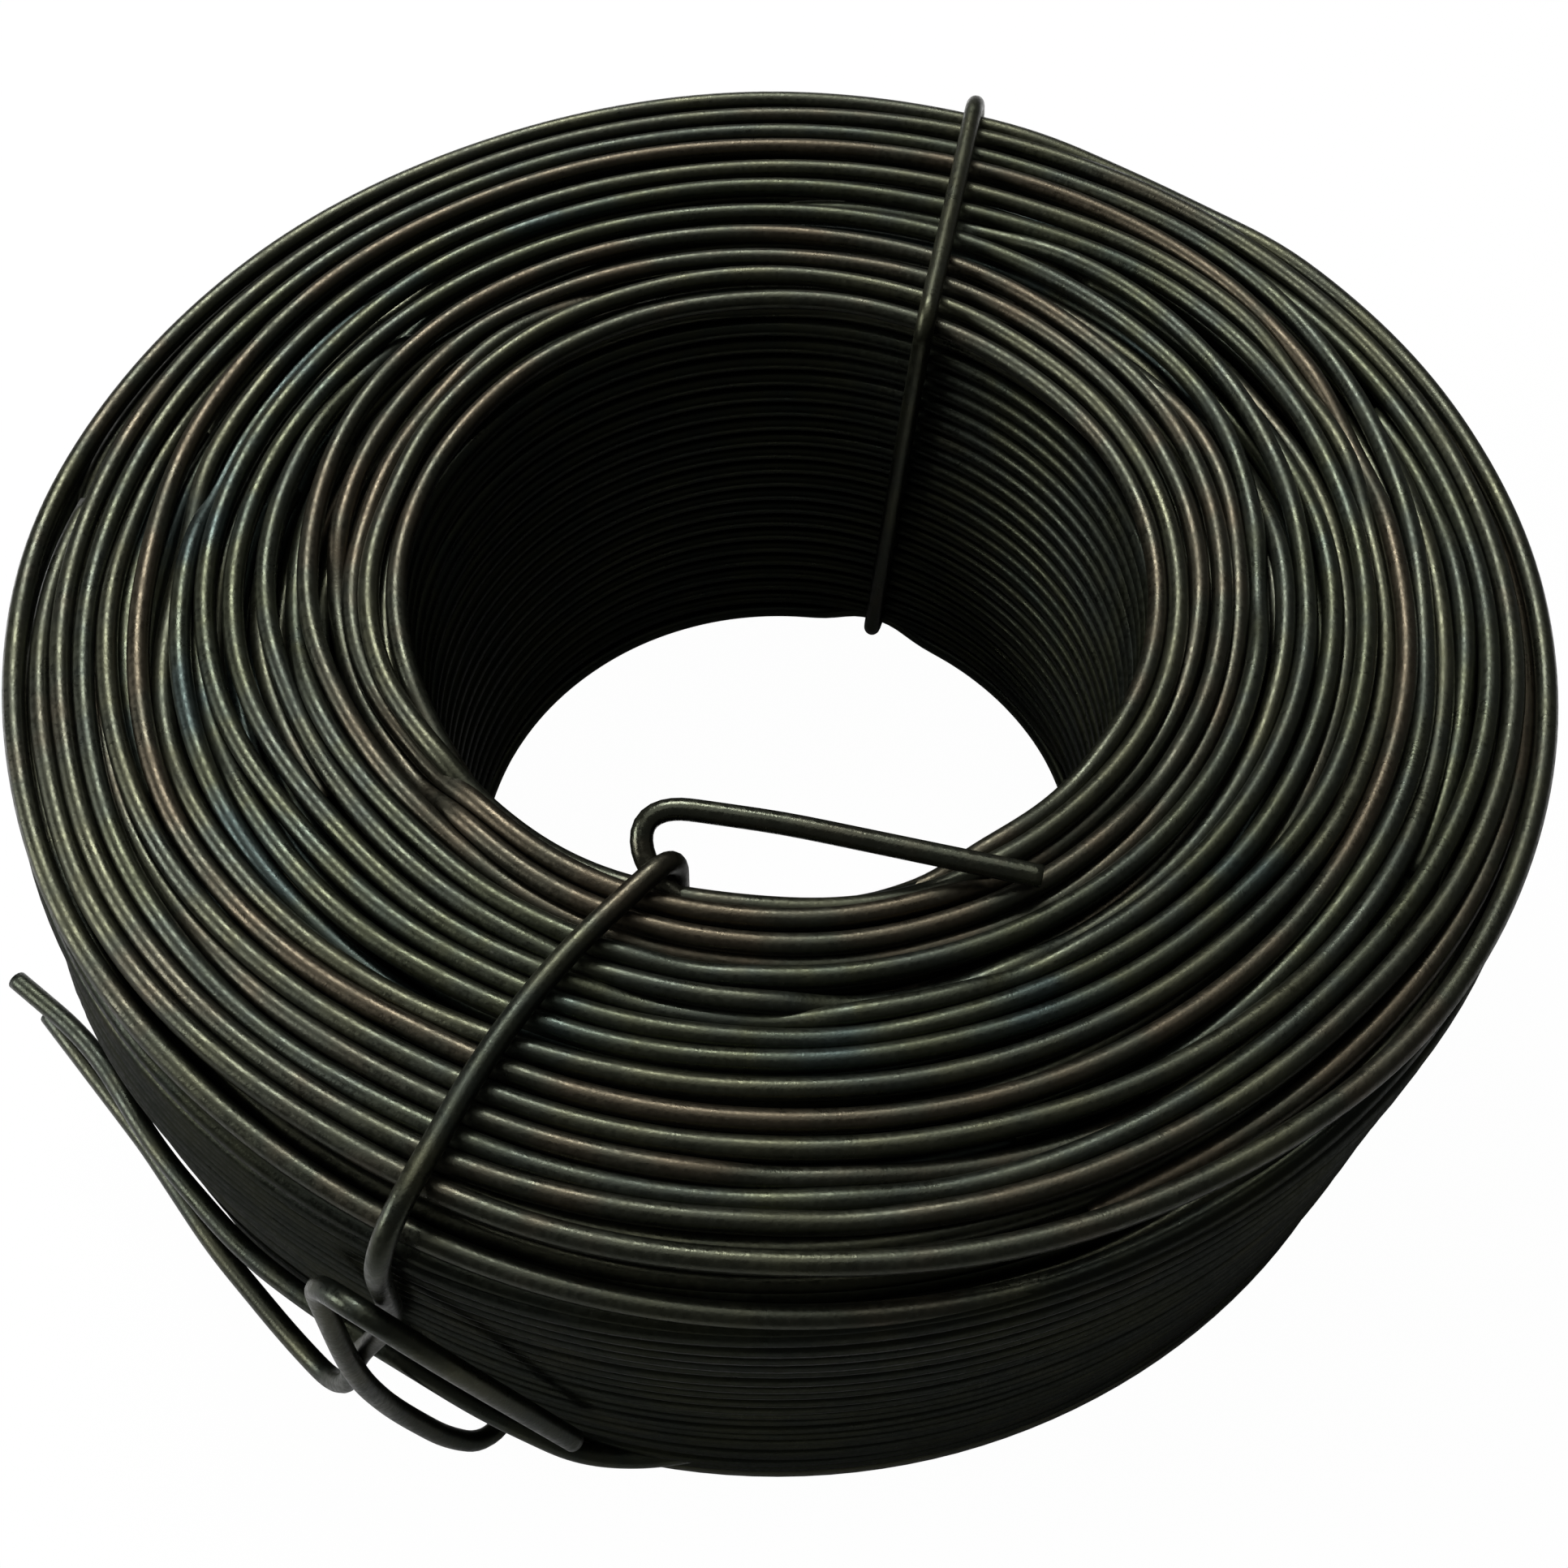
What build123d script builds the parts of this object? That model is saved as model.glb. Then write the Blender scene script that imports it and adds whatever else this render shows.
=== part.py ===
from build123d import *
from math import cos, radians, sin, sqrt, tan
import os

# A flat coil of soft annealed wire, bound at the back and at the front by two ties of the same wire.
# The origin is on the coil's axis at the face that it rests on, and the front is towards -Y.

# The wire and how it is wound, in millimetres
wire_diameter = 1.6
bore_diameter = 56.7
layers = 21
layer_spacing = 1.4
rows_high = 23
row_spacing = 1.918
top_shoulder = 2.1
bottom_shoulder = 1.5
turn_bedding = 0.6
rest_flat = 0.3

# The ties and how they sit
ride_clearance = 0.15
bed_clearance = 0.08
rim_bend = 2.0
shoulder_bend = 4.6
foot_bend = 2.6
tight_bend = 1.7
easy_bend = 60.0

# The twist that closes the back tie, on the outer wall
twist_height = 20.0
twist_pitch = 8.8
twist_quarters = 8
twist_root_bend = 1.9

# The knot that closes the front tie, on the outer wall
knot_height = 18.0
knot_bow = 3.2

# Worked out from the sizes above
wire_radius = wire_diameter / 2
bore_radius = bore_diameter / 2
first_turn_radius = bore_radius + wire_radius
last_turn_radius = first_turn_radius + (layers - 1) * layer_spacing
coil_radius = last_turn_radius + wire_radius
rest_dip = wire_radius - sqrt(wire_radius**2 - (rest_flat / 2) ** 2)
first_row_height = wire_radius - rest_dip
last_row_height = first_row_height + (rows_high - 1) * row_spacing
coil_height = last_row_height + wire_radius

# Where the centre of a tie's wire runs: over the top, down the bore, under the coil, up the outer wall
over_top = coil_height + ride_clearance + wire_radius
in_bore = bore_radius - ride_clearance - wire_radius
in_bed = wire_radius + bed_clearance
on_wall = coil_radius + ride_clearance + wire_radius
over_tail = on_wall + ride_clearance + wire_diameter
over_both = over_tail + ride_clearance + wire_diameter


def at(radius, azimuth, height):
    """A point from its distance to the axis, its azimuth from +X in degrees and its height."""
    return Vector(radius * cos(radians(azimuth)), radius * sin(radians(azimuth)), height)


def arc_radii(stops, tightest):
    """The bend at each inner stop: the one asked for, or the largest that its two runs allow."""
    radii = []
    for before, corner, after, bend in zip(stops, stops[1:], stops[2:], tightest):
        arriving, leaving = corner - before, after - corner
        half_turn = radians(arriving.get_angle(leaving)) / 2
        radii.append(min(bend, 0.45 * min(arriving.length, leaving.length) / tan(half_turn)))
    return radii


def wire_along(route):
    """The centre line of a bent wire. Each stop of the route is a point and the bend asked for there."""
    stops = [point for point, bend in route]
    bends = [bend for point, bend in route[1:-1]]
    return stops, arc_radii(stops, bends)


def twisted_strand(azimuth, phase):
    """Stops of one strand of a two-strand twist that lies along the outer wall, from its root outwards."""
    root = at(over_tail, azimuth, twist_height)
    outward = at(1, azimuth, 0)
    along = Vector(0, 0, 1).cross(outward)
    strand_offset = wire_radius + ride_clearance
    stops = []
    for quarter in range(twist_quarters + 1):
        turn = radians(phase + 90 * quarter)
        step = along * (twist_pitch * quarter / 4)
        swing = outward * (strand_offset * cos(turn)) + Vector(0, 0, strand_offset * sin(turn))
        stops.append(root + step + swing)
    return stops


# The back tie, from the tip of one strand round the coil to the tip of the other
back_azimuth = 71.5
back_rim_azimuth = 63.3
back_foot_azimuth = 69.3
upper_strand = twisted_strand(back_azimuth, 90)
lower_strand = twisted_strand(back_azimuth, 270)
back_route = [(point, easy_bend) for point in reversed(upper_strand[1:])]
back_route += [
    (upper_strand[0], twist_root_bend),
    (at(on_wall, back_azimuth, over_top), shoulder_bend),
    (at(bore_radius + 16, back_azimuth - 2.4, over_top), easy_bend),
    (at(in_bore, back_rim_azimuth, over_top), rim_bend),
    (at(in_bore, back_azimuth - 5, coil_height / 2), easy_bend),
    (at(in_bore, back_foot_azimuth, in_bed), rim_bend),
    (at(on_wall, back_azimuth, in_bed), foot_bend),
    (lower_strand[0], twist_root_bend),
]
back_route += [(point, easy_bend) for point in lower_strand[1:]]

# The front tie, from the cut end at the left, through the knot, round the coil and back through the knot
front_azimuth = 246.2
front_rim_azimuth = 255.7
front_foot_azimuth = 253.0
front_route = [
    (at(on_wall + 6.6, 200.3, knot_height - 7), easy_bend),
    (at(over_tail + 0.6, 214, knot_height - 7), easy_bend),
    (at(over_tail + 0.5, 224, knot_height - 7), easy_bend),
    (at(over_tail + 1.1, 233.5, knot_height - 7.2), easy_bend),
    (at(over_both, 238.6, knot_height - 7.6), tight_bend),
    (at(over_tail + 0.3, 240.6, knot_height), easy_bend),
    (at(on_wall, 244.6, knot_height + 11), easy_bend),
    (at(on_wall, front_azimuth, over_top), shoulder_bend),
    (at(bore_radius + 16.5, front_azimuth, over_top), easy_bend),
    (at(bore_radius + 8.5, front_azimuth + 2.0, over_top), easy_bend),
    (at(in_bore, front_rim_azimuth, over_top), rim_bend),
    (at(in_bore, front_foot_azimuth, in_bed), rim_bend),
    (at(on_wall + 0.8, 247.6, in_bed), easy_bend),
    (at(on_wall + knot_bow, 245.2, in_bed + 3.4), easy_bend),
    (at(on_wall + knot_bow, 242.4, knot_height - 6), easy_bend),
    (at(over_both, 242.0, knot_height + 4), easy_bend),
    (at(over_tail - 0.6, 240.3, knot_height + 16), tight_bend),
    (at(over_tail, 244.6, knot_height + 19), easy_bend),
    (at(over_tail, 249.5, knot_height + 14), easy_bend),
    (at(on_wall + 1.0, 256.0, knot_height - 2), easy_bend),
]

# The two free ends of the coil's own wire: the inner one hooks round the front tie over the bore,
# and the outer one leaves the outer wall, passes under the knot and stands off to the left
inner_end_route = [
    (at(first_turn_radius + 0.7, 260, last_row_height - 1.4), easy_bend),
    (at(first_turn_radius - 0.1, 253.5, last_row_height - 0.4), easy_bend),
    (at(first_turn_radius - 2.4, 248.6, over_top - 0.8), tight_bend + 0.5),
    (at(first_turn_radius - 4.7, 250.3, over_top), tight_bend + 0.5),
    (at(first_turn_radius - 5.1, 258, over_top), easy_bend),
    (at(first_turn_radius - 4.7, 271, over_top), easy_bend),
    (at(first_turn_radius + 4.4, 301.5, over_top), easy_bend),
]
outer_end_route = [
    (at(last_turn_radius - 1.0, 266, 4.2), easy_bend),
    (at(last_turn_radius + 0.8, 260, 4.4), easy_bend),
    (at(on_wall, 255, 5.2), easy_bend),
    (at(on_wall, 248, knot_height - 8.2), easy_bend),
    (at(on_wall, 241.5, knot_height - 4.0), easy_bend),
    (at(on_wall + 0.3, 235, knot_height - 3.8), easy_bend),
    (at(on_wall + 1.0, 227, knot_height - 4.4), easy_bend),
    (at(on_wall + 1.8, 216, knot_height - 4.6), easy_bend),
    (at(on_wall + 3.3, 205, knot_height - 4.7), easy_bend),
    (at(on_wall + 8.2, 197.8, knot_height - 4.8), easy_bend),
]


def shoulder_drop(radius, shoulder):
    """How far the outermost layers end short of the others, so that the coil's outer edge is rounded."""
    into_shoulder = min(max(radius - (last_turn_radius - shoulder), 0), shoulder)
    return shoulder - sqrt(shoulder**2 - into_shoulder**2)


def wall_rows(lowest, highest):
    """Heights of the rows of a wall between its end turns, as near to the row spacing as they divide."""
    rows = round((highest - lowest) / row_spacing)
    return [lowest + (highest - lowest) * row / rows for row in range(1, rows)]


def edge_turns():
    """Where the wire shows on one section of the coil, as (radius, height) of each turn's centre."""
    places = []
    for layer in range(layers):
        radius = first_turn_radius + layer * layer_spacing
        nested = row_spacing / 2 if layer % 2 else 0
        places.append((radius, first_row_height + nested + shoulder_drop(radius, bottom_shoulder)))
        places.append((radius, last_row_height - nested - shoulder_drop(radius, top_shoulder)))
    for height in wall_rows(first_row_height, last_row_height):
        places.append((first_turn_radius, height))
    for height in wall_rows(first_row_height + bottom_shoulder, last_row_height - top_shoulder):
        places.append((last_turn_radius, height))
    return places


# The coil is one section turned round the axis: a solid middle, and the edge turns as ridges on both
# ends, on the outer wall and in the bore. Every second layer of the winding ends half a row lower.
with BuildPart() as wire_coil:
    with BuildSketch(Plane.XZ) as section:
        with BuildLine():
            FilletPolyline(
                (first_turn_radius, first_row_height + turn_bedding),
                (last_turn_radius, first_row_height + turn_bedding),
                (last_turn_radius, last_row_height - turn_bedding),
                (first_turn_radius, last_row_height - turn_bedding),
                radius=[0, bottom_shoulder, top_shoulder, 0],
                close=True,
            )
        make_face()
        with Locations(*edge_turns()):
            Circle(wire_radius)
        with Locations(((first_turn_radius + last_turn_radius) / 2, -wire_radius)):
            Rectangle(2 * coil_radius, wire_diameter, mode=Mode.SUBTRACT)
    revolve(axis=Axis.Z)

    # The channels in the underside that the ties are bedded in
    for route in (back_route, front_route):
        feet = [place for place, stop in enumerate(route) if stop[0].Z == in_bed]
        inner_foot, outer_foot = route[feet[0]][0], route[feet[1]][0]
        run = outer_foot - inner_foot
        with BuildSketch(Plane(origin=(inner_foot + outer_foot) / 2, x_dir=run, z_dir=(0, 0, -1))):
            Rectangle(run.length + wire_diameter, 2 * (in_bed + bed_clearance))
        extrude(amount=in_bed, mode=Mode.SUBTRACT)
        with BuildLine() as bed_line:
            stops, bends = wire_along(route[feet[0] - 1 : feet[1] + 2])
            FilletPolyline(*stops, radius=bends)
        with BuildSketch(Plane(origin=bed_line.line @ 0, z_dir=bed_line.line % 0)):
            Circle(in_bed)
        sweep(mode=Mode.SUBTRACT)

    # The two free ends of the coil's own wire
    for route in (inner_end_route, outer_end_route):
        with BuildLine() as end_line:
            stops, bends = wire_along(route)
            FilletPolyline(*stops, radius=bends)
        with BuildSketch(Plane(origin=end_line.line @ 0, z_dir=end_line.line % 0)):
            Circle(wire_radius)
        sweep()

wire_coil.part.label = "wire_coil"

# The ties, each one wire
with BuildPart() as back_tie:
    with BuildLine() as back_line:
        stops, bends = wire_along(back_route)
        FilletPolyline(*stops, radius=bends)
    with BuildSketch(Plane(origin=back_line.line @ 0, z_dir=back_line.line % 0)):
        Circle(wire_radius)
    sweep()

back_tie.part.label = "back_tie"

with BuildPart() as front_tie:
    with BuildLine() as front_line:
        stops, bends = wire_along(front_route)
        FilletPolyline(*stops, radius=bends)
    with BuildSketch(Plane(origin=front_line.line @ 0, z_dir=front_line.line % 0)):
        Circle(wire_radius)
    sweep()

front_tie.part.label = "front_tie"

os.makedirs("parts", exist_ok=True)
for piece in (wire_coil, back_tie, front_tie):
    export_step(piece.part, f"parts/{piece.part.label}.step")
    print(piece.part.label, round(piece.part.volume, 1), piece.part.is_valid)
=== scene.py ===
import math

import bpy
import numpy as np
from mathutils import Matrix, Vector


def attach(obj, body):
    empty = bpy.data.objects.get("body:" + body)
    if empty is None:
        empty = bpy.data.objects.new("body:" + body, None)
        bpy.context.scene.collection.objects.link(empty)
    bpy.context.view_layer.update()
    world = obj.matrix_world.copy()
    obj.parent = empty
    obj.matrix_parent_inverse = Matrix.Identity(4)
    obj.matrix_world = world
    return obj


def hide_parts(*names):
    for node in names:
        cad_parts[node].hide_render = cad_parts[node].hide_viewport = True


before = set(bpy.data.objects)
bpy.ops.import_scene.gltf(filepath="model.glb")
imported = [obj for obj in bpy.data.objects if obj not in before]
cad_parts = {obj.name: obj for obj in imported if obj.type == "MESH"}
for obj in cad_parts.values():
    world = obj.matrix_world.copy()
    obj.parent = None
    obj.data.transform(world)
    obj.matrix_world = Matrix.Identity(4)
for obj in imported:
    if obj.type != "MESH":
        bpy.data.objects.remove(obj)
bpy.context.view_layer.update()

# The wires below are in millimetres and degrees, and turn into metres where a mesh is made.
MM = 0.001
rng = np.random.default_rng(41)

# The coil, with its solid's sizes. The last turn lies a hundredth of a millimetre further in than
# the solid's.
WIRE_RADIUS = 0.8
FIRST_TURN = 29.15
LAST_TURN = 57.14
LOW_ROW = 0.8
HIGH_ROW = 42.97

# Heights of a tie's centre over the coil's top and in the bed under the coil
OVER_TOP = 44.73
IN_BED = 0.88

# Radii at which a wire's centre lies on the outer wall, in the bore and over the coil's outer end
ON_WALL = 58.9
IN_BORE = 27.4
OVER_TAIL = 60.65

# How finely the turns are cut: degrees along them, and sides round the wire
TOP_STEP, TOP_SIDES = 1.5, 10
WALL_STEP, WALL_SIDES = 2.0, 8
DEEPER_STEP, DEEPER_SIDES = 3.0, 6

# How finely the wire ends and the front tie are cut: millimetres along them, and sides
END_STEP, END_SIDES = 0.5, 16

# How near two wires lie, centre to centre, and how far each level lies below the one above it
NEAREST = 1.52
LEVEL_DROP = 1.75

# From turn to turn: under the top, on the walls, on the underside and deeper in the coil
BELOW_SPACING = 1.6
ROW_PITCH = 1.9
UNDERSIDE_SPACING = 1.4
DEEPER_SPACING = 1.5

# Degrees to each side over which a wire's radius and its height are smoothed
RADIUS_SMOOTHING, HEIGHT_SMOOTHING = 9, 6

# The azimuth of the front
FRONT = 270


def smooth(values, width, closed):
    """A running mean with a soft window, width samples to each side."""
    window = np.hanning(2 * width + 3)[1:-1]
    window /= window.sum()
    if closed:
        padded = np.concatenate([values[-width:], values, values[:width]])
    else:
        first = 2 * values[0] - values[width:0:-1]
        last = 2 * values[-1] - values[-2 : -width - 2 : -1]
        padded = np.concatenate([first, values, last])
    return np.convolve(padded, window, mode="valid")


def eased(share):
    """0 to 1 as share is, but level at both ends."""
    return share * share * (3 - 2 * share)


def wander(azimuths, amount, fewest, limit):
    """A seeded wave round the coil that closes on itself, made of sines with fewest to limit - 1
    waves each."""
    waves = np.zeros(len(azimuths))
    for count in range(fewest, limit):
        phase = rng.uniform(0, 2 * math.pi)
        share = rng.normal() / math.sqrt(count)
        waves += share * np.sin(np.radians(azimuths) * count + phase)
    usual_peak = 1.5
    return amount * waves / usual_peak


class Wire:
    """One stretch of wire round the axis: azimuths, radii and heights of its centre line."""

    def __init__(self, azimuths, radii, heights, closed, tint=None):
        self.azimuths, self.radii, self.heights = azimuths, radii, heights
        self.closed = closed
        self.tint = rng.uniform() if tint is None else tint

    def points(self):
        turn = np.radians(self.azimuths)
        return np.stack([self.radii * np.cos(turn), self.radii * np.sin(turn), self.heights], 1)


def tube(points, closed, sides):
    """Vertices, quads and end caps of a round wire along points, in millimetres."""
    count = len(points)
    if closed:
        runs = np.roll(points, -1, 0) - np.roll(points, 1, 0)
    else:
        runs = np.gradient(points, axis=0)
    runs /= np.linalg.norm(runs, axis=1)[:, None]
    normals = np.zeros_like(points)
    start = np.array([0.0, 0.0, 1.0])
    if abs(runs[0] @ start) > 0.9:
        start = np.array([1.0, 0.0, 0.0])
    normal = start - (start @ runs[0]) * runs[0]
    for place in range(count):
        normal = normal - (normal @ runs[place]) * runs[place]
        normal /= np.linalg.norm(normal)
        normals[place] = normal
    across = np.cross(runs, normals)
    if closed:
        gap = math.atan2(normals[0] @ across[-1], normals[0] @ normals[-1])
        turned = np.linspace(0, gap, count)
    else:
        turned = np.zeros(count)
    corner = np.arange(sides) * 2 * math.pi / sides
    angle = turned[:, None] + corner[None, :]
    ring = normals[:, None, :] * np.cos(angle)[..., None]
    ring = ring + across[:, None, :] * np.sin(angle)[..., None]
    vertices = (points[:, None, :] + WIRE_RADIUS * ring).reshape(-1, 3)
    here = np.arange(count if closed else count - 1)
    there = (here + 1) % count
    side = np.arange(sides)
    beside = (side + 1) % sides
    quads = np.stack(
        [
            here[:, None] * sides + side,
            here[:, None] * sides + beside,
            there[:, None] * sides + beside,
            there[:, None] * sides + side,
        ],
        -1,
    ).reshape(-1, 4)
    caps = []
    if not closed:
        caps = [list(range(sides))[::-1], list(range((count - 1) * sides, count * sides))]
    return vertices, quads, caps


def add_object(name, data):
    """A new object in the scene."""
    made = bpy.data.objects.new(name, data)
    bpy.context.scene.collection.objects.link(made)
    return made


def piece(name, wires, sides, material):
    """One mesh of several wires, each with its own tint, that rides with the coil."""
    vertices, faces, tints, first = [], [], [], 0
    for wire in wires:
        found, quads, caps = tube(wire.points(), wire.closed, sides)
        vertices.append(found)
        faces += (quads + first).tolist() + [[first + v for v in cap] for cap in caps]
        tints.append(np.full(len(found), wire.tint))
        first += len(found)
    mesh = bpy.data.meshes.new(name)
    mesh.from_pydata((np.concatenate(vertices) * MM).tolist(), [], faces)
    mesh.polygons.foreach_set("use_smooth", [len(face) == 4 for face in faces])
    tint = mesh.attributes.new("tint", "FLOAT", "POINT")
    tint.data.foreach_set("value", np.concatenate(tints).astype(np.float32))
    mesh.update()
    made = add_object(name, mesh)
    made.data.materials.append(material)
    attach(made, "root")
    return made


# The finish's colours along its ramp, and how many cells a metre each of its noises has
OXIDE_COLOURS = [
    (0.0, (0.0190, 0.0260, 0.0235)),
    (0.2, (0.0285, 0.0310, 0.0185)),
    (0.4, (0.0215, 0.0250, 0.0195)),
    (0.6, (0.0340, 0.0350, 0.0215)),
    (0.8, (0.0245, 0.0265, 0.0190)),
    (1.0, (0.0370, 0.0310, 0.0205)),
]
# Light specks painted into the colour as glints along the crests
PAINTED_GLINT_COLOUR = (0.04, 0.04, 0.036)
STRETCHES, PATCHES, SMEARS, FLECKS, GRAIN = 40, 90, 260, 2100, 3800


def oxide(name, by_turn, painted_light_level=1.0, duller=0.0):
    """The wire's finish: a dull oxide skin with fine grain, and light specks painted in as glints.
    Its colour goes by each turn's tint or by stretches of the wire. The third argument scales the
    colours: below 1 they are painted shade, above 1 a painted highlight."""
    material = bpy.data.materials.new(name)
    material.use_nodes = True
    tree = material.node_tree
    nodes, links = tree.nodes, tree.links
    shader = nodes["Principled BSDF"]

    def noise(scale, detail=2.0, roughness=0.5):
        made = nodes.new("ShaderNodeTexNoise")
        made.inputs["Scale"].default_value = scale
        made.inputs["Detail"].default_value = detail
        made.inputs["Roughness"].default_value = roughness
        links.new(place.outputs["Object"], made.inputs["Vector"])
        return made.outputs["Fac"]

    def spread(source, given, wanted):
        made = nodes.new("ShaderNodeMapRange")
        made.inputs["From Min"].default_value, made.inputs["From Max"].default_value = given
        made.inputs["To Min"].default_value, made.inputs["To Max"].default_value = wanted
        links.new(source, made.inputs["Value"])
        return made.outputs["Result"]

    def sum_of(one, other):
        made = nodes.new("ShaderNodeMath")
        made.operation = "ADD"
        links.new(one, made.inputs[0])
        links.new(other, made.inputs[1])
        return made.outputs[0]

    place = nodes.new("ShaderNodeTexCoord")
    patches = spread(noise(PATCHES, 3.0, 0.6), (0.3, 0.7), (-0.22, 0.22))
    if by_turn:
        turn = nodes.new("ShaderNodeAttribute")
        turn.attribute_name = "tint"
        choice = sum_of(turn.outputs["Fac"], patches)
    else:
        choice = sum_of(spread(noise(STRETCHES), (0.35, 0.65), (0.3, 0.8)), patches)
    colours = nodes.new("ShaderNodeValToRGB")
    ramp = colours.color_ramp
    while len(ramp.elements) < len(OXIDE_COLOURS):
        ramp.elements.new(0.5)
    for element, (where, colour) in zip(ramp.elements, OXIDE_COLOURS):
        element.position = where
        # The ramp's colours are scaled: darker for painted shade, lighter for a painted highlight
        element.color = (*[painted_light_level * part for part in colour], 1)
    links.new(choice, colours.inputs["Fac"])
    grain = noise(GRAIN, 2.0, 0.6)
    # Light specks from the grain, painted in as glints
    painted_glints = nodes.new("ShaderNodeMixRGB")
    painted_glints.blend_type = "ADD"
    painted_glints.inputs["Color2"].default_value = (*[part * painted_light_level for part in PAINTED_GLINT_COLOUR], 1)
    links.new(spread(grain, (0.66, 0.78), (0.0, 0.5)), painted_glints.inputs["Fac"])
    links.new(colours.outputs["Color"], painted_glints.inputs["Color1"])
    links.new(painted_glints.outputs["Color"], shader.inputs["Base Color"])
    smears = spread(noise(SMEARS, 3.0, 0.6), (0.3, 0.7), (0.3 + duller, 0.44 + duller))
    flecks = spread(noise(FLECKS, 2.0, 0.6), (0.38, 0.62), (-0.07, 0.08))
    links.new(sum_of(smears, flecks), shader.inputs["Roughness"])
    shader.inputs["Metallic"].default_value = 0.9
    shader.inputs["Specular IOR Level"].default_value = 0.3
    # Where shade is painted, the reflection at grazing edges is dimmed with it
    edge = min(1.1 * painted_light_level, 1.0)
    shader.inputs["Specular Tint"].default_value = (edge, edge, edge, 1)
    bump = nodes.new("ShaderNodeBump")
    bump.inputs["Strength"].default_value = 0.32
    bump.inputs["Distance"].default_value = 0.00006
    links.new(grain, bump.inputs["Height"])
    links.new(bump.outputs["Normal"], shader.inputs["Normal"])
    return material


# The wall and the bore have painted shade, darker copies of the top's colours, and the hooked
# inner end has a painted highlight, a lighter copy of them, and a smoother finish
turned_oxide = oxide("oxide_by_turn", True)
wall_oxide_painted_shade = oxide("oxide_of_wall_painted_shade", True, 0.48)
bore_oxide_painted_shade = oxide("oxide_of_bore_painted_shade", True, 0.6)
hook_oxide_painted_highlight = oxide("oxide_of_inner_end_painted_highlight", True, 1.2, -0.12)
tie_oxide = oxide("oxide_of_ties", False)


# The turns that lie on top, as (azimuth, radius) or (azimuth, radius, drop). The rings close. A
# strand longer than a full turn comes round beside itself, and one that drops dives between its
# neighbours.
RINGS = [
    [(240, 51.7), (255, 51.5), (270, 51.3), (285, 51.9), (300, 52.1), (315, 52.5), (330, 53.7),
     (345, 54.5), (360, 54.6), (380, 54.3), (400, 54.0), (420, 53.7), (450, 53.4), (480, 53.2),
     (510, 53.2), (540, 53.3), (560, 52.8), (570, 53.0), (585, 52.5)],
    [(240, 45.0), (255, 44.9), (270, 45.0), (285, 45.5), (300, 46.0), (315, 46.3), (330, 46.5),
     (345, 46.8), (360, 46.9), (380, 47.8), (395, 49.0), (405, 49.3), (420, 49.2), (450, 48.9),
     (480, 49.0), (495, 49.2), (510, 48.9), (525, 48.3), (540, 47.5), (560, 47.5), (570, 47.4),
     (585, 46.3)],
    [(240, 43.6), (255, 43.0), (270, 42.8), (285, 43.3), (300, 43.7), (315, 44.2), (330, 45.0),
     (345, 45.5), (360, 45.9), (380, 46.5), (392, 47.3), (405, 47.3), (420, 46.2), (450, 45.8),
     (480, 46.0), (495, 46.3), (510, 46.1), (525, 45.8), (540, 45.4, 0.4), (550, 45.8, 0.9),
     (560, 46.3, 0.2), (570, 45.7), (585, 44.8)],
    [(240, 29.6, 0.5), (255, 29.4, 0.6), (270, 29.5, 0.6), (285, 30.0, 0.4), (300, 30.3),
     (315, 30.2), (330, 30.3), (345, 30.2), (360, 30.1), (380, 30.3), (405, 30.6), (420, 31.1),
     (450, 31.7), (480, 31.8), (495, 31.6), (510, 31.1), (525, 30.5), (540, 30.7), (550, 30.7),
     (560, 30.5), (570, 29.8), (585, 29.3, 0.2)],
]
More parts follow.
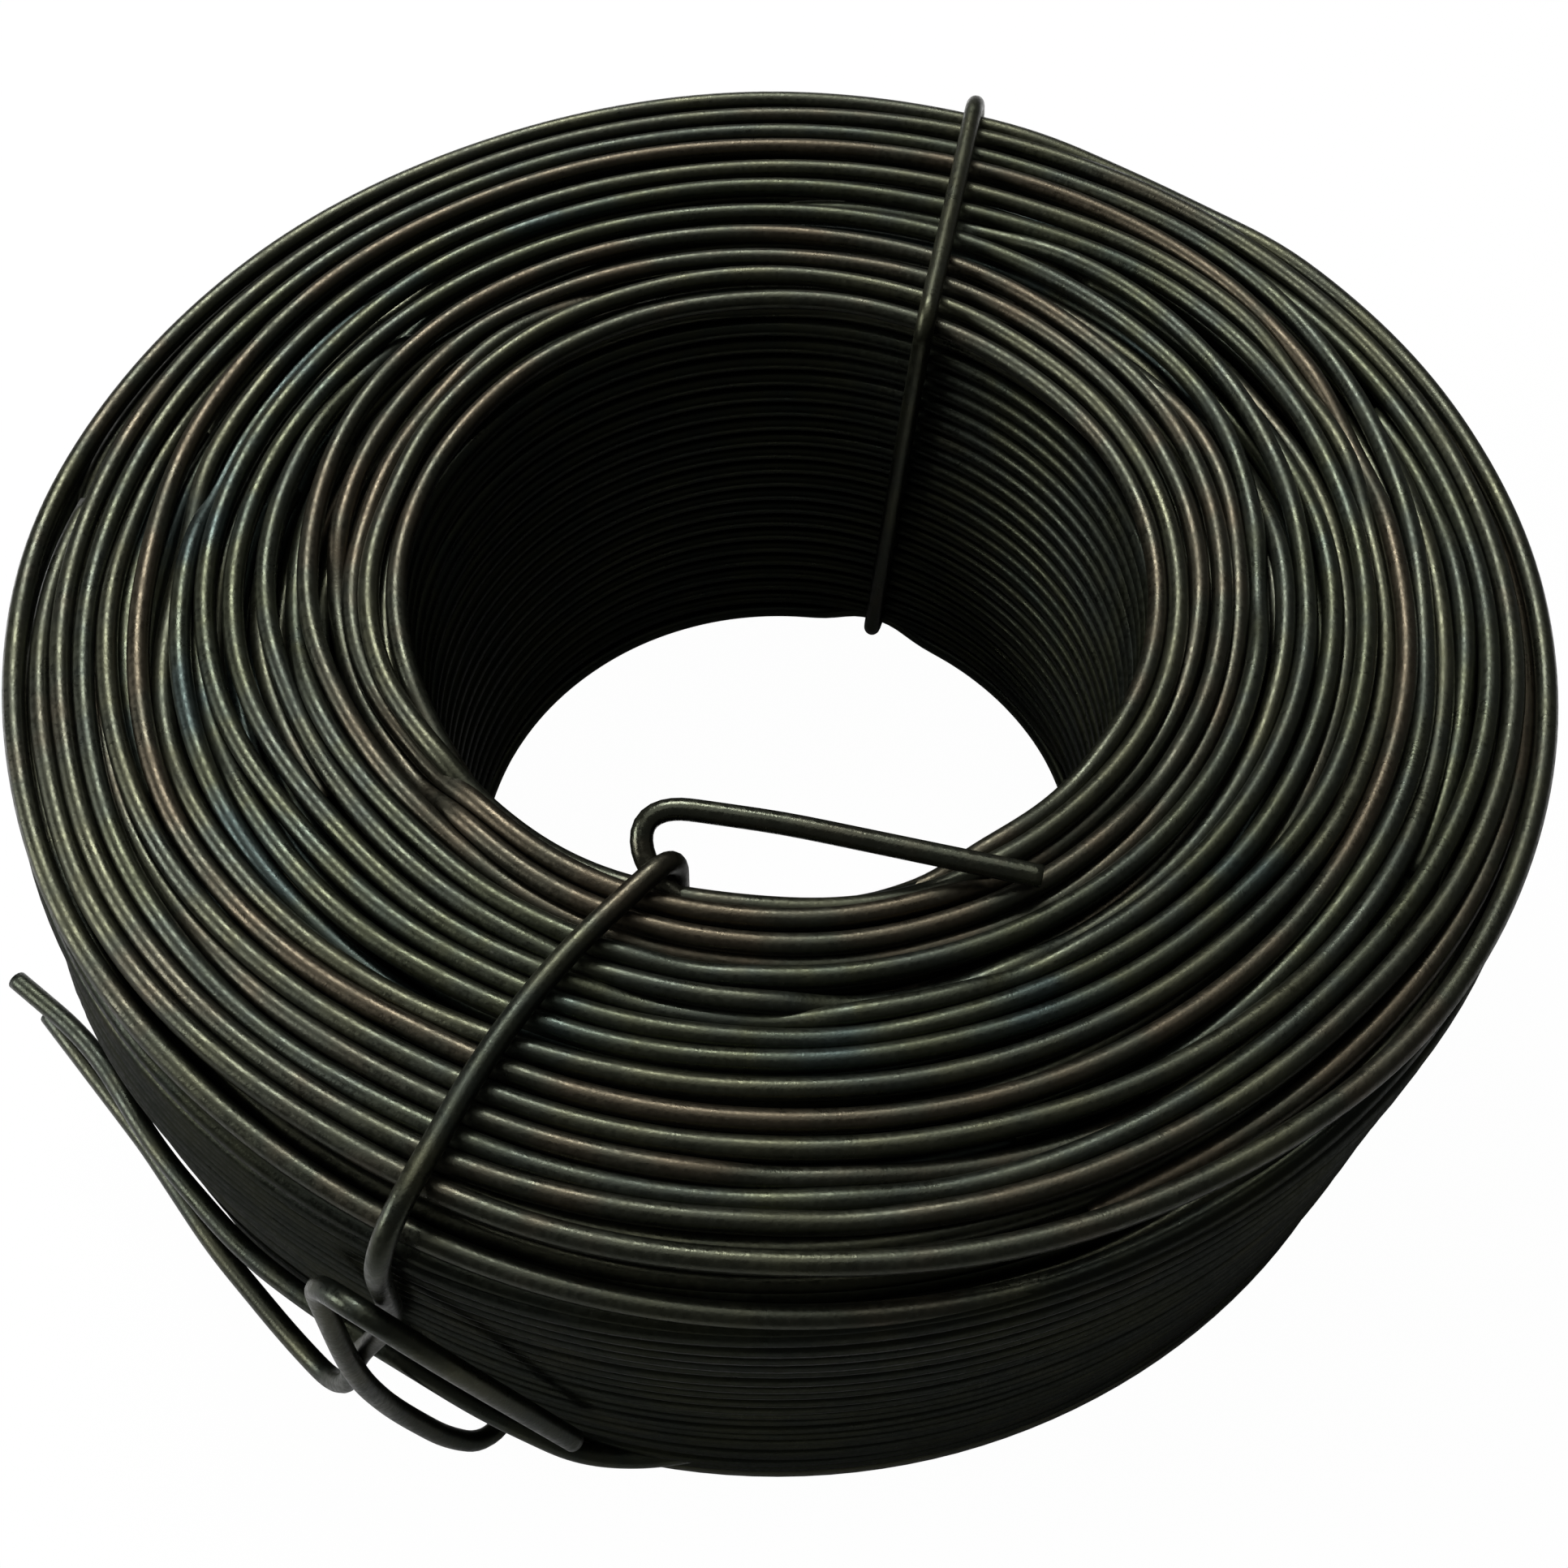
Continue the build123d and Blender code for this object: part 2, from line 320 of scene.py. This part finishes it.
STRANDS = [
    [(172, 54.6, 1.6), (182, 54.9, 0.9), (190, 54.6, 0.3), (200, 54.3), (210, 54.6), (225, 54.0),
     (240, 53.3), (255, 53.7), (270, 53.8), (285, 54.7), (300, 55.3), (315, 56.5, 0.2),
     (330, 56.8, 0.3), (345, 56.9, 0.4), (360, 56.9, 0.4), (380, 56.4, 0.2), (405, 55.3),
     (420, 55.1), (450, 55.8), (480, 55.4), (510, 55.7), (540, 56.5), (560, 56.2, 0.2),
     (570, 56.4, 0.5), (585, 55.9, 1.2), (600, 55.8, 2.0), (630, 56.3, 2.8), (660, 56.8, 3.6)],
    [(290, 53.6, 2.0), (300, 53.8, 1.6), (315, 54.3, 1.2), (330, 55.0, 0.8), (345, 55.6, 0.7),
     (360, 55.8, 0.8), (375, 55.6, 1.2), (390, 55.0, 1.9)],
    [(288, 47.6, 1.6), (296, 47.7, 0.6), (305, 47.7, 0.2), (315, 47.7), (330, 48.1), (345, 48.3),
     (360, 48.4), (372, 49.3), (383, 50.3), (395, 51.3), (405, 51.6), (420, 51.0), (450, 51.0),
     (480, 51.0), (510, 51.2), (540, 51.5), (560, 51.3), (570, 51.4), (585, 51.0), (600, 50.2),
     (615, 50.0), (630, 49.9), (645, 50.5), (660, 50.5), (675, 50.8), (690, 51.8), (705, 52.8),
     (720, 53.1, 0.2), (735, 52.9, 0.4), (750, 52.8, 0.8), (780, 52.4, 1.7)],
    [(328, 50.9, 1.7), (336, 51.0, 0.8), (345, 51.2, 0.4), (360, 51.5, 0.3), (370, 51.8, 0.7),
     (380, 52.0, 1.7)],
    [(184, 50.3, 1.8), (192, 50.4, 1.0), (200, 50.5, 0.5), (210, 50.2, 0.2), (225, 49.3),
     (240, 48.5), (255, 48.4), (270, 48.4), (280, 48.8, 0.2), (290, 49.5, 0.9), (300, 49.9, 1.8)],
    [(146, 50.6, 1.8), (155, 50.6, 0.9), (165, 50.4, 0.3), (180, 50.0), (200, 49.5), (210, 49.0),
     (225, 48.0), (240, 46.8), (255, 46.7), (270, 46.7), (285, 47.4), (300, 48.3), (315, 49.2),
     (330, 49.7), (345, 49.7), (360, 49.9), (370, 50.2, 0.1), (382, 50.8, 0.5), (392, 51.1, 1.2),
     (402, 51.3, 1.9)],
    [(162, 49.2, 1.8), (170, 49.0, 0.9), (180, 48.9, 0.5), (190, 48.6, 0.7), (198, 48.4, 1.3),
     (206, 48.2, 1.9)],
    [(134, 45.3, 1.8), (142, 45.2, 0.8), (150, 45.1, 0.4), (165, 44.8, 0.2), (180, 44.7),
     (200, 44.3), (210, 44.1), (225, 43.5, 0.3), (232, 43.3, 0.9), (240, 43.1, 1.8)],
    [(184, 43.6, 1.8), (192, 43.4, 0.8), (200, 43.0, 0.2), (210, 42.5), (225, 42.0), (240, 41.3),
     (255, 41.1), (270, 41.0), (285, 41.2), (300, 41.8), (315, 42.3), (330, 43.3), (345, 43.8),
     (360, 44.2), (380, 44.8), (392, 45.2), (405, 45.0), (420, 43.5), (435, 43.0), (450, 43.3),
     (480, 43.5), (495, 43.8), (510, 43.3), (525, 43.3), (540, 43.1), (550, 42.6), (560, 41.9),
     (568, 41.0), (575, 40.4), (585, 40.0), (600, 39.6), (615, 39.5), (630, 39.5), (645, 39.7),
     (660, 40.0), (675, 40.6), (690, 40.9), (705, 41.3), (720, 41.7), (735, 41.9, 0.2),
     (750, 42.1, 0.6), (762, 42.3, 1.3), (772, 42.4, 1.9)],
    [(314, 42.0, 1.8), (322, 42.1, 0.8), (330, 42.2, 0.3), (345, 42.6, 0.1), (360, 43.0, 0.1),
     (375, 43.3, 0.6), (390, 43.5, 1.3), (400, 43.6, 1.9)],
    [(158, 37.0, 1.8), (166, 37.0, 0.9), (174, 36.8, 0.4), (180, 36.5, 0.2), (200, 35.8),
     (210, 35.1), (225, 34.5), (240, 34.8), (255, 35.0), (270, 35.1), (285, 35.3), (300, 35.6),
     (315, 35.8), (330, 36.0), (345, 36.1), (360, 36.4), (372, 37.2), (380, 38.2), (390, 38.8),
     (405, 39.0), (420, 39.3), (450, 39.8), (480, 40.5), (495, 40.8), (510, 40.9), (525, 41.1),
     (540, 41.0), (555, 40.3), (563, 39.6), (572, 38.6), (580, 38.2), (600, 38.0), (615, 37.9),
     (630, 37.9), (645, 38.1), (660, 38.5), (675, 38.8), (690, 39.0), (705, 39.5), (720, 39.8),
     (740, 40.9), (750, 41.6), (765, 42.4), (780, 42.3, 0.2), (795, 42.2, 0.8), (810, 42.2, 1.8)],
    [(138, 40.2, 1.8), (145, 40.0, 0.9), (152, 39.7, 0.3), (165, 39.1), (180, 38.7), (190, 38.0),
     (200, 37.1), (210, 36.6), (225, 36.3), (240, 36.3), (255, 36.6), (270, 36.9), (285, 37.3),
     (300, 37.5), (315, 37.7), (330, 37.8), (345, 38.0), (360, 38.2), (370, 38.4, 0.5),
     (380, 38.5, 1.2), (390, 38.6, 1.9)],
    [(165, 39.5, 1.8), (175, 39.3, 1.0), (183, 39.1, 0.6), (195, 38.7, 0.5), (206, 38.0, 0.8),
     (214, 37.6, 1.8)],
    [(112, 33.6, 1.8), (120, 33.5, 0.9), (128, 33.3, 0.3), (135, 33.1), (150, 32.5), (165, 32.0),
     (180, 32.1), (190, 32.0), (200, 31.6), (210, 30.6), (225, 30.0), (240, 30.4), (255, 30.7),
     (270, 30.8), (285, 31.1), (300, 31.3), (315, 31.3), (330, 31.5), (345, 31.6), (360, 31.8),
     (380, 32.3), (405, 33.1), (420, 33.5), (450, 33.8), (480, 34.8), (495, 35.3), (510, 34.6),
     (525, 34.1), (540, 33.5), (550, 33.0), (560, 32.5), (570, 31.7), (585, 31.5), (600, 32.1),
     (615, 32.5), (630, 32.7), (645, 33.0), (660, 33.1), (675, 33.2), (690, 33.2), (705, 33.3),
     (720, 33.5), (740, 34.5), (765, 35.3), (780, 36.1), (810, 36.9), (840, 38.0), (855, 38.1),
     (870, 37.6), (885, 36.5), (900, 35.5), (910, 34.9), (920, 34.1), (930, 33.5), (945, 33.0),
     (960, 33.3), (975, 33.5), (990, 33.7), (1005, 34.1), (1020, 34.5), (1035, 34.5),
     (1050, 34.5), (1065, 34.6), (1080, 34.9), (1090, 35.7, 0.1), (1100, 36.2, 0.2),
     (1120, 36.1, 0.2), (1127, 36.0, 0.8), (1137, 35.9, 1.8)],
    [(278, 29.2, 1.8), (290, 29.0, 0.9), (300, 28.9, 0.4), (315, 28.8, 0.2), (330, 28.7, 0.2),
     (360, 28.7, 0.2), (380, 28.6, 0.2), (405, 28.6, 0.2), (420, 28.8, 0.2), (450, 28.9, 0.2),
     (480, 28.9, 0.2), (495, 28.9, 0.2), (510, 28.7, 0.2), (525, 28.6, 0.2), (540, 28.6, 0.2),
     (555, 28.7, 0.2), (570, 28.8, 0.3), (580, 29.0, 0.8), (592, 29.2, 1.8)],
]


def along(stops, step, closed):
    """The wire through given stops, smoothed so that it bends as wire does."""
    stops = [(*stop, 0.0)[:3] for stop in stops]
    azimuth, radius, drop = (np.array(column, float) for column in zip(*stops))
    if closed:
        azimuth = np.append(azimuth, azimuth[0] + 360)
        radius = np.append(radius, radius[0])
        drop = np.append(drop, drop[0])
    first = math.ceil(azimuth[0] / step) * step
    azimuths = np.arange(first, azimuth[-1] - (0.1 if closed else 0), step)
    radii = smooth(np.interp(azimuths, azimuth, radius), round(RADIUS_SMOOTHING / step), closed)
    drops = smooth(np.interp(azimuths, azimuth, drop), round(HEIGHT_SMOOTHING / step), closed)
    # The stops are the crests that the photo shows. The centres lie a little further back and out.
    radii += 0.2 + 0.25 * np.sin(np.radians(azimuths))
    radii += wander(azimuths, 0.035, 6, 20)
    heights = HIGH_ROW - 0.03 - drops - np.abs(wander(azimuths, 0.06, 2, 9))
    return Wire(azimuths, np.minimum(radii, LAST_TURN), heights, closed)


def ring(radius, height, step, amount=0.12, lift=0.06):
    """A closed turn that wanders a little, in radius by amount and in height by lift."""
    azimuths = np.arange(0, 360, step)
    radii = radius + wander(azimuths, amount, 2, 8)
    radii = np.clip(radii, FIRST_TURN, LAST_TURN)
    return Wire(azimuths, radii, height + wander(azimuths, lift, 2, 9), True)


def settle(wires, step):
    """Lets each wire rest in the groove below those that lie above it, at every azimuth."""
    sections = {}
    for number, wire in enumerate(wires):
        for sample, azimuth in enumerate(wire.azimuths):
            here = sections.setdefault(round(azimuth / step) % round(360 / step), [])
            here.append((0.01 * number - wire.heights[sample], number, sample))
    for found in sections.values():
        placed = []
        for _, number, sample in sorted(found):
            wire = wires[number]
            radius, height = wire.radii[sample], wire.heights[sample]
            for other_radius, other_height in placed:
                apart = abs(other_radius - radius)
                if apart < NEAREST:
                    height = min(height, other_height - math.sqrt(NEAREST**2 - apart**2))
            wire.heights[sample] = height
            placed.append((radius, height))
    for wire in wires:
        wire.heights = smooth(wire.heights, round(HEIGHT_SMOOTHING / step), wire.closed)


def pulled_in(azimuths):
    """1 at the front, where the last top turn is pulled in, and 0 from 47 degrees to each side."""
    return np.clip(3.2 * np.cos(np.radians(azimuths - FRONT)) - 2.2, 0, 1)


top = [along(stops, TOP_STEP, True) for stops in RINGS]
top += [along(stops, TOP_STEP, False) for stops in STRANDS]
below = [
    ring(radius, HIGH_ROW - LEVEL_DROP, TOP_STEP)
    for radius in np.arange(30.0, 57.0, BELOW_SPACING)
]
outermost_below = below[-2:]
FRONT_DROPS = (1.7, 2.1)
for turn, front_drop in zip(outermost_below, FRONT_DROPS):
    turn.heights -= front_drop * pulled_in(turn.azimuths)
settle(top + below, TOP_STEP)
coil_top = piece("coil_top_turns", top + below[:-2], TOP_SIDES, turned_oxide)
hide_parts("wire_coil")


# The outer wall and the bore: in each, one wire that climbs a row with every turn. The wall stands
# out a little at the left, behind the coil's outer end, by so many millimetres at each azimuth. The
# bulge is full up to 12 mm below its top and fades from there.
BULGE_AT = (180, 190, 198, 205, 210, 216, 222, 227, 232, 238, 245)
BULGE_OUT = (0.0, 0.2, 0.9, 1.7, 1.85, 1.55, 1.15, 0.8, 0.4, 0.1, 0.0)
BULGE_TOP, BULGE_FADE = 38.0, 12.0

# How deep the wall's wire dives at its ends, and over how many degrees
DIVE, DIVE_OVER = 2.4, 30


def climbing(radius, low, high, inwards, uneven):
    """A wire that winds up a wall and dives into the coil at both ends. Inwards is 1 where the coil
    lies towards the axis and -1 where it lies away from it. The turns lie unevenly deep."""
    turns = round((high - low) / ROW_PITCH)
    azimuths = np.arange(0, 360 * turns, WALL_STEP)
    share = azimuths / azimuths[-1]
    heights = low + (high - low) * share
    level = np.zeros(len(azimuths))
    for wave in range(5):
        level += rng.normal() * np.sin(
            np.radians(azimuths) * (wave + 1) + share * rng.uniform(2, 9) + rng.uniform(0, 6)
        )
    heights = heights + 0.22 * level * np.sin(math.pi * share) / 1.6
    spare = 20
    drawn = rng.normal(size=len(azimuths) + 2 * spare)[spare:-spare]
    depths = np.clip(np.abs(smooth(drawn, 25, False) * 3.2), 0, 1.6)
    radii = radius - inwards * uneven * depths
    from_end = np.minimum(azimuths, azimuths[-1] - azimuths)
    radii = radii - inwards * DIVE * np.clip(1 - from_end / DIVE_OVER, 0, 1) ** 2
    if inwards > 0:
        bulge = np.interp(azimuths % 360, BULGE_AT, BULGE_OUT)
        radii = radii + bulge * eased(np.clip((BULGE_TOP - heights) / BULGE_FADE, 0, 1))
    return azimuths, radii, heights


def shoulder(radius, height, front_drop):
    """A turn on the rounded edge, which lies deeper at the front."""
    turn = ring(radius, height, WALL_STEP, 0.1, 0.08)
    turn.heights -= front_drop * pulled_in(turn.azimuths)
    return turn


wall = [
    Wire(*climbing(LAST_TURN, low=2.4, high=39.6, inwards=1, uneven=0.22), False, tint=0.35),
    shoulder(radius=56.6, height=HIGH_ROW - 2.2, front_drop=1.3),
    *outermost_below,
]
bore = [
    Wire(*climbing(FIRST_TURN, low=2.6, high=41.2, inwards=-1, uneven=0.12), False, tint=0.3)
]
# The wall, with the outermost rings from under the top, and the bore are painted in shade
piece("coil_outer_wall", wall, WALL_SIDES, wall_oxide_painted_shade)
piece("coil_bore_wall", bore, WALL_SIDES, bore_oxide_painted_shade)

# The underside: turns on two levels, which part over the ties that are bedded between them. Each
# tie crosses it from one (radius, azimuth) to the other. The outermost turns rise with the edge.
BACK_FEET = [(IN_BORE, 69.3), (ON_WALL, 71.5)]
FRONT_FEET = [(IN_BORE, 253.0), (59.7, 247.6)]
PARTED_HALF_WIDTH, PARTED_SLOPE, PARTED_RISE = 1.4, 4.5, 1.76
UNDERSIDE_TURNS, SECOND_LEVEL = 21, 0.96
EDGE_FROM, EDGE_RADIUS = 55.6, 1.5


def part_over_ties(wire):
    """Lifts a turn of the underside over the two ties that cross it."""
    turn = wire.azimuths
    for (inner, inner_azimuth), (outer, outer_azimuth) in (BACK_FEET, FRONT_FEET):
        share = (wire.radii - inner) / (outer - inner)
        foot = inner_azimuth + (outer_azimuth - inner_azimuth) * share
        away = np.radians((turn - foot + 180) % 360 - 180) * wire.radii
        rise = eased(np.clip(1 - (np.abs(away) - PARTED_HALF_WIDTH) / PARTED_SLOPE, 0, 1))
        wire.heights = np.maximum(wire.heights, LOW_ROW + PARTED_RISE * rise)


lowest = []
for layer in range(UNDERSIDE_TURNS):
    radius = FIRST_TURN + layer * UNDERSIDE_SPACING
    rise = SECOND_LEVEL if layer % 2 else 0.0
    over_edge = max(radius - EDGE_FROM, 0)
    rise += EDGE_RADIUS - math.sqrt(max(EDGE_RADIUS**2 - over_edge**2, 0))
    turn = ring(radius, LOW_ROW + rise, WALL_STEP, 0.05, 0.0)
    turn.heights = turn.heights + np.abs(wander(turn.azimuths, 0.05, 2, 9))
    part_over_ties(turn)
    turn.heights = smooth(turn.heights, 2, True)
    lowest.append(turn)
piece("coil_underside", lowest, WALL_SIDES, turned_oxide)


# Deeper turns, behind the turns that show on the top, the underside and the walls, so that no gap
# is bare
DEEPER_TOP = HIGH_ROW - 2 * LEVEL_DROP - 0.2
DEEPER_BOTTOM = LOW_ROW + 3.3
DEEPER_INNER = FIRST_TURN + 1.35
DEEPER_OUTER = LAST_TURN - 1.35


def deeper_turns():
    """A level under the top, one over the underside and a layer behind each wall."""
    def deeper(radius, height):
        return ring(radius, height, DEEPER_STEP, 0.05, 0.05)

    deep = []
    for radius in np.arange(FIRST_TURN + 1.3, LAST_TURN - 1.2, DEEPER_SPACING):
        deep.append(deeper(radius, DEEPER_TOP))
        deep.append(deeper(radius, DEEPER_BOTTOM))
    for height in np.arange(LOW_ROW + 4.6, HIGH_ROW - 4.0, DEEPER_SPACING):
        deep.append(deeper(DEEPER_INNER, height))
        deep.append(deeper(DEEPER_OUTER, height))
    return deep


# The deeper turns, in the gaps, have the bore's painted shade
piece("coil_deeper_turns", deeper_turns(), DEEPER_SIDES, bore_oxide_painted_shade)


# The two free ends of the coil's wire, along the same stops as in the solid. A stop's bend is the
# largest radius wanted there.
def bent(stops):
    """Points along straight runs joined by arcs. Each stop is (radius, azimuth, height, bend)."""
    corners = [
        np.array([r * math.cos(math.radians(a)), r * math.sin(math.radians(a)), z])
        for r, a, z, bend in stops
    ]
    line = [corners[0]]
    for before, corner, after, stop in zip(corners, corners[1:], corners[2:], stops[1:]):
        arriving, leaving = corner - before, after - corner
        shorter = min(np.linalg.norm(arriving), np.linalg.norm(leaving))
        arriving, leaving = arriving / np.linalg.norm(arriving), leaving / np.linalg.norm(leaving)
        half = math.acos(max(-1.0, min(1.0, float(arriving @ leaving)))) / 2
        bend = min(stop[3], 0.47 * shorter / math.tan(half))
        reach = bend * math.tan(half)
        start, centre_way = corner - arriving * reach, leaving - arriving
        centre = corner + centre_way / np.linalg.norm(centre_way) * bend / math.cos(half)
        out = start - centre
        for share in np.linspace(0, 1, max(3, round(2 * half * bend / END_STEP))):
            turn = 2 * half * share
            line.append(centre + out * math.cos(turn) + arriving * bend * math.sin(turn))
    line.append(corners[-1])
    dense = [line[0]]
    for one in line[1:]:
        run = one - dense[-1]
        pieces_of_run = max(1, round(np.linalg.norm(run) / END_STEP))
        start = dense[-1]
        dense += [start + run * part / pieces_of_run for part in range(1, pieces_of_run + 1)]
    found = np.array(dense)
    return np.stack([smooth(found[:, axis], 3, False) for axis in range(3)], 1)


class Bent(Wire):
    """A wire with its centre line given as points."""

    def __init__(self, line, tint):
        self.line, self.closed, self.tint = line, False, tint

    def points(self):
        return self.line


EASY, TIGHT = 60.0, 2.2
inner_end = bent([
    (FIRST_TURN + 0.7, 260, HIGH_ROW - 1.4, EASY),
    (FIRST_TURN - 0.1, 253.5, HIGH_ROW - 0.4, EASY),
    (FIRST_TURN - 2.4, 248.6, OVER_TOP - 0.8, TIGHT),
    (FIRST_TURN - 4.7, 250.3, OVER_TOP, TIGHT),
    (FIRST_TURN - 5.1, 258, OVER_TOP, EASY),
    (FIRST_TURN - 4.7, 271, OVER_TOP, EASY),
    (FIRST_TURN + 4.4, 301.5, OVER_TOP, EASY),
])
outer_end = bent([
    (LAST_TURN - 1.0, 266, 4.2, EASY),
    (LAST_TURN + 0.8, 260, 4.4, EASY),
    (ON_WALL, 255, 5.2, EASY),
    (ON_WALL, 248, 9.8, EASY),
    (ON_WALL, 241.5, 14.0, EASY),
    (ON_WALL + 0.3, 235, 14.2, EASY),
    (ON_WALL + 1.0, 227, 13.6, EASY),
    (ON_WALL + 1.8, 216, 13.4, EASY),
    (ON_WALL + 3.3, 205, 13.3, EASY),
    (ON_WALL + 8.2, 197.8, 13.2, EASY),
])
# The hooked inner end has a painted highlight: lighter colours than the top's
piece("coil_inner_end", [Bent(inner_end, 0.75)], END_SIDES, hook_oxide_painted_highlight)
piece("coil_outer_end", [Bent(outer_end, 0.4)], END_SIDES, turned_oxide)

# The front tie along its solid's route, with softer loops at the knot. It runs from its cut end at
# the left through the knot, round the coil and back through the knot.
front_line = bent([
    (65.5, 200.3, 11.0, EASY),
    (61.25, 214, 11.0, EASY),
    (61.15, 224, 11.0, EASY),
    (61.8, 233.0, 10.9, EASY),
    (62.5, 237.8, 11.8, 3.0),
    (62.3, 240.1, 15.6, 3.0),
    (61.0, 241.0, 20.5, EASY),
    (ON_WALL, 244.6, 29.0, EASY),
    (ON_WALL, 246.2, OVER_TOP, 4.6),
    (44.85, 246.2, OVER_TOP, EASY),
    (36.85, 248.2, OVER_TOP, EASY),
    (IN_BORE, 255.7, OVER_TOP, 2.0),
    (*FRONT_FEET[0], IN_BED, 2.0),
    (*FRONT_FEET[1], IN_BED, EASY),
    (61.1, 245.3, 4.5, EASY),
    (61.9, 242.6, 12.0, EASY),
    (62.3, 242.0, 22.0, EASY),
    (60.1, 240.3, 34.0, 2.0),
    (OVER_TAIL, 244.6, 37.0, EASY),
    (OVER_TAIL, 249.5, 32.0, EASY),
    (59.88, 256.0, 16.0, EASY),
])
front_wire = piece("front_tie_wire", [Bent(front_line, 0.4)], END_SIDES, tie_oxide)
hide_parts("front_tie")

# The back tie keeps its solid's shape
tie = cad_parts["back_tie"]
tie.data.materials.clear()
tie.data.materials.append(tie_oxide)

# The floor, the surroundings, the lamps and the camera, in metres. To the camera the floor and the
# surroundings are white, with a faint trace of the coil's shadow. The light that they throw on the
# coil is much dimmer.
scene = bpy.context.scene


def by_sight(nodes, links, unseen, seen):
    """The value seen for what the camera looks straight at, and unseen for all other light."""
    path = nodes.new("ShaderNodeLightPath")
    value = nodes.new("ShaderNodeMapRange")
    value.inputs["To Min"].default_value = unseen
    value.inputs["To Max"].default_value = seen
    links.new(path.outputs["Is Camera Ray"], value.inputs["Value"])
    return value.outputs["Result"]


world = bpy.data.worlds.new("white")
scene.world = world
world.use_nodes = True
nodes, links = world.node_tree.nodes, world.node_tree.links
background = nodes["Background"]
background.inputs["Color"].default_value = (1, 1, 1, 1)
links.new(by_sight(nodes, links, unseen=0.14, seen=1.0), background.inputs["Strength"])

HALF_FLOOR = 3.0
floor_mesh = bpy.data.meshes.new("floor")
floor_corners = [
    (HALF_FLOOR * x, HALF_FLOOR * y, 0) for x, y in ((-1, -1), (1, -1), (1, 1), (-1, 1))
]
floor_mesh.from_pydata(floor_corners, [], [(0, 1, 2, 3)])
floor = add_object("floor", floor_mesh)
paper = bpy.data.materials.new("paper")
paper.use_nodes = True
nodes, links = paper.node_tree.nodes, paper.node_tree.links
diffuse = nodes["Principled BSDF"]
diffuse.inputs["Base Color"].default_value = (0.6, 0.6, 0.6, 1)
diffuse.inputs["Roughness"].default_value = 0.9
glow = nodes.new("ShaderNodeEmission")
glow.inputs["Strength"].default_value = 1.0
mixed = nodes.new("ShaderNodeMixShader")
links.new(by_sight(nodes, links, unseen=0.0, seen=0.985), mixed.inputs["Fac"])
links.new(diffuse.outputs[0], mixed.inputs[1])
links.new(glow.outputs[0], mixed.inputs[2])
links.new(mixed.outputs[0], nodes["Material Output"].inputs["Surface"])
floor.data.materials.append(paper)


LAMPS_AIM = Vector((0, 0, 0.03))


def lamp(name, position, side, watts):
    """A square lamp that faces the coil."""
    light = bpy.data.lights.new(name, "AREA")
    light.shape = "SQUARE"
    light.size = side
    light.energy = watts
    holder = add_object(name, light)
    holder.location = position
    aim = LAMPS_AIM - holder.location
    holder.rotation_euler = aim.to_track_quat("-Z", "Y").to_euler()


lamp("behind", (-0.09, 0.29, 0.42), 0.16, 2.7)
lamp("left", (-0.54, -0.04, 0.28), 0.24, 3.2)
lamp("overhead", (-0.07, 0.18, 0.60), 0.6, 2.1)

# The camera, fitted to the photo's outline, bore and top edge. It looks at the middle of the coil's
# bottom, and roll, yaw and pitch then turn it a little.
camera = bpy.data.cameras.new("camera")
camera.lens = 39.465
camera.sensor_width = 36
camera.clip_start = 0.01
viewer = add_object("camera", camera)
position = Vector((0, -0.085145, 0.143602))
aimed = (-position).to_track_quat("-Z", "Y").to_matrix()
roll, yaw, pitch = 0.0006, 0.0036, -0.0382
turned = Matrix.Rotation(roll, 3, "Z") @ Matrix.Rotation(yaw, 3, "Y")
turned = turned @ Matrix.Rotation(pitch, 3, "X")
viewer.matrix_world = Matrix.Translation(position) @ (aimed @ turned.transposed()).to_4x4()
scene.camera = viewer

scene.view_settings.view_transform = "Standard"

bpy.context.view_layer.update()
